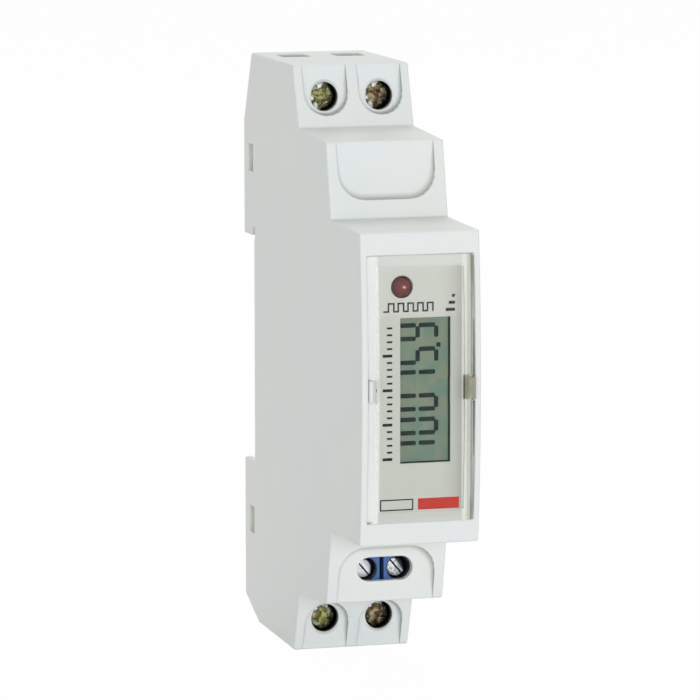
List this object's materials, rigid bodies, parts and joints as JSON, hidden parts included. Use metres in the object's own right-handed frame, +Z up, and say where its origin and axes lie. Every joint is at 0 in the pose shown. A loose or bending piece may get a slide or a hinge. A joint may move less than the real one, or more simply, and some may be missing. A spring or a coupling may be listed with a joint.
{
  "type": "din rail energy meter",
  "caption": "Narrow stepped energy meter that clips onto a mounting rail: screw terminals at both ends, a counter display behind a clear window, a pulse output terminal and a sprung rail clip.",
  "frame": {"origin": "middle of the flat rear face that rests on the 35 mm rail, on the rail's centre line", "axes": "+Y to the rear, towards the rail; the front of the meter faces -Y; +Z up; +X to the right seen from the front"},
  "size_m": [0.018, 0.0634, 0.0887],
  "materials": {
    "housing_plastic": "fine matt moulding",
    "base_plastic": "matt moulding",
    "clip_plastic": "matt moulding",
    "window_plastic": "clear, polished",
    "label_print": "printed sheet",
    "display_glass": "grey-green reflective display",
    "holder_plastic": "matt moulding",
    "strip_rubber": "conductive rubber",
    "board_laminate": "solder mask on laminate",
    "led_lens": "dark red clear lens",
    "screw_zinc": "yellow zinc plated",
    "clamp_nickel": "nickel plated",
    "tinned_copper": "tin plated",
    "shunt_alloy": "bare resistance alloy",
    "spring_steel": "drawn wire",
    "pulse_blue": "moulded",
    "pulse_screw_steel": "bright zinc plated",
    "capacitor_yellow": "moulded case",
    "electrolytic_sleeve": "shrink sleeve",
    "varistor_blue": "dipped epoxy",
    "chip_epoxy": "moulded epoxy",
    "optocoupler_epoxy": "moulded epoxy",
    "resistor_ceramic": "cement coated"
  },
  "bodies": {
    "housing": {"housing_shell": "housing_plastic", "rear_base": "base_plastic", "clip_spring": "spring_steel", "window_cover": "window_plastic", "label_plate": "label_print", "lcd_glass": "display_glass", "lcd_holder": "holder_plastic", "contact_strip_left": "strip_rubber", "contact_strip_right": "strip_rubber", "display_board": "board_laminate", "pulse_led": "led_lens", "main_board": "board_laminate", "board_header": "chip_epoxy", "metering_chip": "chip_epoxy", "optocoupler": "optocoupler_epoxy", "film_capacitor": "capacitor_yellow", "electrolytic_capacitor": "electrolytic_sleeve", "varistor": "varistor_blue", "power_resistor": "resistor_ceramic", "phase_bar_top": "tinned_copper", "phase_bar_bottom": "tinned_copper", "neutral_bar": "tinned_copper", "current_shunt": "shunt_alloy", "pulse_block": "pulse_blue", "pulse_contact_left": "tinned_copper", "pulse_contact_right": "tinned_copper"},
    "rail_clip": {"rail_clip": "clip_plastic"},
    "terminal_screw_top_left": {"terminal_screw_top_left": "screw_zinc"},
    "terminal_clamp_top_left": {"terminal_clamp_top_left": "clamp_nickel"},
    "terminal_screw_top_right": {"terminal_screw_top_right": "screw_zinc"},
    "terminal_clamp_top_right": {"terminal_clamp_top_right": "clamp_nickel"},
    "terminal_screw_bottom_left": {"terminal_screw_bottom_left": "screw_zinc"},
    "terminal_clamp_bottom_left": {"terminal_clamp_bottom_left": "clamp_nickel"},
    "terminal_screw_bottom_right": {"terminal_screw_bottom_right": "screw_zinc"},
    "terminal_clamp_bottom_right": {"terminal_clamp_bottom_right": "clamp_nickel"},
    "pulse_screw_left": {"pulse_screw_left": "pulse_screw_steel"},
    "pulse_clamp_left": {"pulse_clamp_left": "clamp_nickel"},
    "pulse_screw_right": {"pulse_screw_right": "pulse_screw_steel"},
    "pulse_clamp_right": {"pulse_clamp_right": "clamp_nickel"}
  },
  "joints": [
    {"name": "rail_clip_slide", "type": "slide", "parent": "housing", "child": "rail_clip", "axis": [0, 0, -1], "range_m": [0, 0.0035], "stiffness_N_per_m": 1200, "springref_m": -0.002, "deforming": ["clip_spring"]},
    {"name": "terminal_screw_top_left_turn", "type": "hinge", "parent": "housing", "child": "terminal_screw_top_left", "pos_m": [-0.00425, -0.0206, 0.0398], "axis": [0, 1, 0], "range_deg": [0, 2760.5]},
    {"name": "terminal_clamp_top_left_slide", "type": "slide", "parent": "housing", "child": "terminal_clamp_top_left", "axis": [0, -1, 0], "range_m": [0, 0.0046]},
    {"name": "terminal_screw_top_right_turn", "type": "hinge", "parent": "housing", "child": "terminal_screw_top_right", "pos_m": [0.00425, -0.0206, 0.0398], "axis": [0, 1, 0], "range_deg": [0, 2760.5]},
    {"name": "terminal_clamp_top_right_slide", "type": "slide", "parent": "housing", "child": "terminal_clamp_top_right", "axis": [0, -1, 0], "range_m": [0, 0.0046]},
    {"name": "terminal_screw_bottom_left_turn", "type": "hinge", "parent": "housing", "child": "terminal_screw_bottom_left", "pos_m": [-0.00425, -0.0206, -0.039], "axis": [0, 1, 0], "range_deg": [0, 2760.5]},
    {"name": "terminal_clamp_bottom_left_slide", "type": "slide", "parent": "housing", "child": "terminal_clamp_bottom_left", "axis": [0, -1, 0], "range_m": [0, 0.0046]},
    {"name": "terminal_screw_bottom_right_turn", "type": "hinge", "parent": "housing", "child": "terminal_screw_bottom_right", "pos_m": [0.00425, -0.0206, -0.039], "axis": [0, 1, 0], "range_deg": [0, 2760.5]},
    {"name": "terminal_clamp_bottom_right_slide", "type": "slide", "parent": "housing", "child": "terminal_clamp_bottom_right", "axis": [0, -1, 0], "range_m": [0, 0.0046]},
    {"name": "pulse_screw_left_turn", "type": "hinge", "parent": "housing", "child": "pulse_screw_left", "pos_m": [-0.00254, -0.036, -0.0291], "axis": [0, 1, 0], "range_deg": [0, 1680.5]},
    {"name": "pulse_clamp_left_slide", "type": "slide", "parent": "housing", "child": "pulse_clamp_left", "axis": [0, -1, 0], "range_m": [0, 0.0021]},
    {"name": "pulse_screw_right_turn", "type": "hinge", "parent": "housing", "child": "pulse_screw_right", "pos_m": [0.00254, -0.036, -0.0291], "axis": [0, 1, 0], "range_deg": [0, 1680.5]},
    {"name": "pulse_clamp_right_slide", "type": "slide", "parent": "housing", "child": "pulse_clamp_right", "axis": [0, -1, 0], "range_m": [0, 0.0021]}
  ],
  "couplings": [
    {"joint": "terminal_screw_top_left_turn", "follows": "terminal_clamp_top_left_slide", "rad_per_m": 10472},
    {"joint": "terminal_screw_top_right_turn", "follows": "terminal_clamp_top_right_slide", "rad_per_m": 10472},
    {"joint": "terminal_screw_bottom_left_turn", "follows": "terminal_clamp_bottom_left_slide", "rad_per_m": 10472},
    {"joint": "terminal_screw_bottom_right_turn", "follows": "terminal_clamp_bottom_right_slide", "rad_per_m": 10472},
    {"joint": "pulse_screw_left_turn", "follows": "pulse_clamp_left_slide", "rad_per_m": 13963},
    {"joint": "pulse_screw_right_turn", "follows": "pulse_clamp_right_slide", "rad_per_m": 13963}
  ]
}
